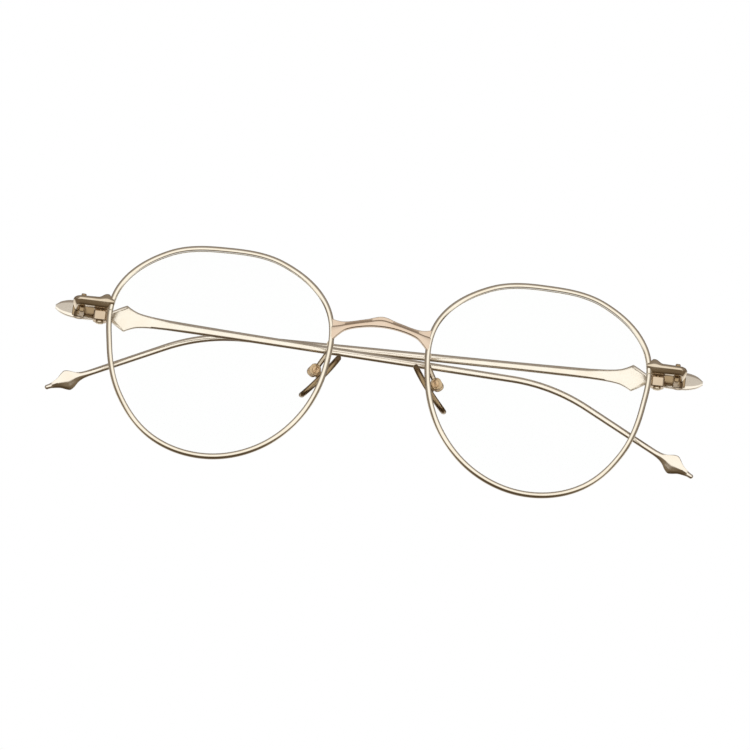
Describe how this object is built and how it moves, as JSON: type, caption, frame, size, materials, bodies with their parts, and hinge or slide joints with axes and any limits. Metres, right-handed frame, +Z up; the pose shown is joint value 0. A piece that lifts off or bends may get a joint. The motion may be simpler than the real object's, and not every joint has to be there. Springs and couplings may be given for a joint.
{
  "type": "eyeglasses",
  "caption": "Thin gold wire eyeglasses with panto rims, clear lenses, arched bridge, metal nose pads and hinged wire temples that end in flat spear tips, folded.",
  "frame": {"origin": "the datum point, midway between the two lens centres in the mean plane of the front", "axes": "+X to the wearer's left across the front, +Y back towards the wearer's ears, +Z up as worn"},
  "size_m": [0.1444, 0.0243, 0.0486],
  "materials": {
    "wire": "polished pale champagne gold plating",
    "plate": "polished warm champagne gold plating",
    "nose_pad": "polished gold plated metal pad",
    "screw": "gold plated slotted steel screw",
    "lens": "clear demonstration lens, polished"
  },
  "bodies": {
    "front": {"bridge": "plate", "closing_block_lower_left": "wire", "closing_block_lower_right": "wire", "closing_block_upper_left": "wire", "closing_block_upper_right": "wire", "closing_screw_left": "screw", "closing_screw_right": "screw", "endpiece_left": "plate", "endpiece_right": "plate", "hinge_front_left": "wire", "hinge_front_right": "wire", "hinge_screw_left": "screw", "hinge_screw_right": "screw", "lens_left": "lens", "lens_right": "lens", "pad_arm_left": "wire", "pad_arm_right": "wire", "pad_box_left": "wire", "pad_box_right": "wire", "pad_screw_left": "screw", "pad_screw_right": "screw", "rim_left": "wire", "rim_right": "wire"},
    "temple_left": {"temple_left": "plate", "hinge_temple_left": "wire"},
    "temple_right": {"temple_right": "plate", "hinge_temple_right": "wire"},
    "pad_left": {"nose_pad_left": "nose_pad"},
    "pad_right": {"nose_pad_right": "nose_pad"}
  },
  "joints": [
    {"name": "temple_left_hinge", "type": "hinge", "parent": "front", "child": "temple_left", "pos_m": [0.0664, 0.0085, 0.0094], "axis": [-0.0035, 0, -1], "range_deg": [0, 86]},
    {"name": "temple_right_hinge", "type": "hinge", "parent": "front", "child": "temple_right", "pos_m": [-0.0664, 0.0085, 0.0094], "axis": [0.0332, 0, 0.9995], "range_deg": [0, 88.1]},
    {"name": "pad_left_rock", "type": "hinge", "parent": "front", "child": "pad_left", "pos_m": [0.01347, 0.00622, 0.00088], "axis": [-0.1524, -0.9816, -0.1148], "range_deg": [-8, 8]},
    {"name": "pad_right_rock", "type": "hinge", "parent": "front", "child": "pad_right", "pos_m": [-0.01347, 0.00622, 0.00088], "axis": [-0.1524, 0.9816, 0.1148], "range_deg": [-8, 8]}
  ],
  "couplings": [
    {"joint": "temple_right_hinge", "follows": "temple_left_hinge", "ratio": 1.0233}
  ]
}
